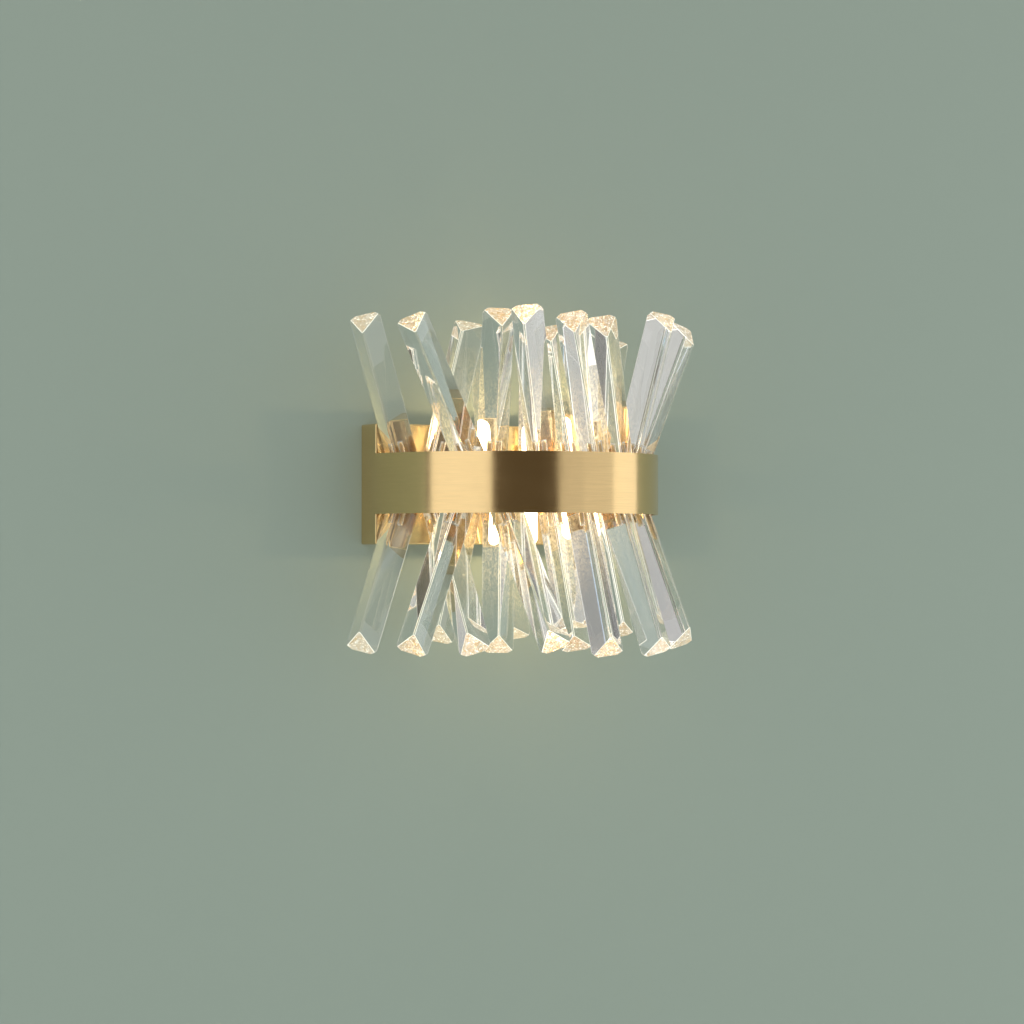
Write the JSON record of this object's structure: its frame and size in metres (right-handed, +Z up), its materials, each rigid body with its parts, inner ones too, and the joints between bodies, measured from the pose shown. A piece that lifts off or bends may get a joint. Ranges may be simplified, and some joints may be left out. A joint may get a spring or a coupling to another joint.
{
  "type": "wall sconce",
  "caption": "Half-round gold band on a box backplate, holding leaning triangular crystal prisms above and below it round capsule lamps that pull out of their ceramic holders.",
  "frame": {"origin": "centre of the wall-screw pattern, on the wall plane behind the mounting strap", "axes": "+X to the right as seen from the room, +Y into the wall, +Z up"},
  "size_m": [0.2954, 0.1767, 0.2868],
  "materials": {
    "crystal_glass": "clear polished prism with gold-backed end facets",
    "satin_gold": "satin plated",
    "polished_gold": "polished plated",
    "zinc_steel": "bright zinc plated",
    "gold_screws": "gold plated screws",
    "plated_brass": "satin plated",
    "holder_ceramic": "unglazed white steatite",
    "lamp_glass": "clear heat-proof glass",
    "lamp_wire": "bright wire",
    "filament": "glowing coil",
    "block_plastic": "moulded",
    "terminal_brass": "bare",
    "lead_sleeving": "silicone sleeved",
    "earth_sleeving": "green and yellow",
    "grommet_rubber": "moulded"
  },
  "bodies": {
    "sconce": {"crystal_upper_01": "crystal_glass", "crystal_upper_02": "crystal_glass", "crystal_upper_03": "crystal_glass", "crystal_upper_04": "crystal_glass", "crystal_upper_05": "crystal_glass", "crystal_upper_06": "crystal_glass", "crystal_upper_07": "crystal_glass", "crystal_upper_08": "crystal_glass", "crystal_upper_09": "crystal_glass", "crystal_upper_10": "crystal_glass", "crystal_upper_11": "crystal_glass", "crystal_upper_12": "crystal_glass", "crystal_upper_13": "crystal_glass", "crystal_upper_14": "crystal_glass", "crystal_lower_01": "crystal_glass", "crystal_lower_02": "crystal_glass", "crystal_lower_03": "crystal_glass", "crystal_lower_04": "crystal_glass", "crystal_lower_05": "crystal_glass", "crystal_lower_06": "crystal_glass", "crystal_lower_07": "crystal_glass", "crystal_lower_08": "crystal_glass", "crystal_lower_09": "crystal_glass", "crystal_lower_10": "crystal_glass", "crystal_lower_11": "crystal_glass", "crystal_lower_12": "crystal_glass", "crystal_lower_13": "crystal_glass", "band": "satin_gold", "backplate_cover": "satin_gold", "upper_carrier": "polished_gold", "lower_carrier": "polished_gold", "seat_bushes": "polished_gold", "crystal_studs": "polished_gold", "wedge_washers": "zinc_steel", "stud_nuts": "zinc_steel", "carrier_spacers": "zinc_steel", "rivet_nuts": "zinc_steel", "mounting_strap": "zinc_steel", "lampholder_screws": "zinc_steel", "countersunk_screws": "gold_screws", "carrier_screws": "gold_screws", "cover_screws": "gold_screws", "arm_tube": "plated_brass", "arm_nuts": "plated_brass", "lamp_bracket": "plated_brass", "upper_lampholder": "holder_ceramic", "lower_lampholder": "holder_ceramic", "terminal_block": "block_plastic", "terminal_screws": "terminal_brass", "lamp_leads": "lead_sleeving", "earth_lead": "earth_sleeving", "earth_terminal": "terminal_brass", "earth_screw": "zinc_steel", "cable_grommet": "grommet_rubber"},
    "upper_bulb": {"upper_bulb_glass": "lamp_glass", "upper_bulb_pins": "lamp_wire", "upper_bulb_filament": "filament"},
    "lower_bulb": {"lower_bulb_glass": "lamp_glass", "lower_bulb_pins": "lamp_wire", "lower_bulb_filament": "filament"}
  },
  "joints": [
    {"name": "upper_bulb_pull", "type": "slide", "parent": "sconce", "child": "upper_bulb", "axis": [0, 0, 1], "range_m": [0, 0.016]},
    {"name": "lower_bulb_pull", "type": "slide", "parent": "sconce", "child": "lower_bulb", "axis": [0, 0, -1], "range_m": [0, 0.016]}
  ]
}
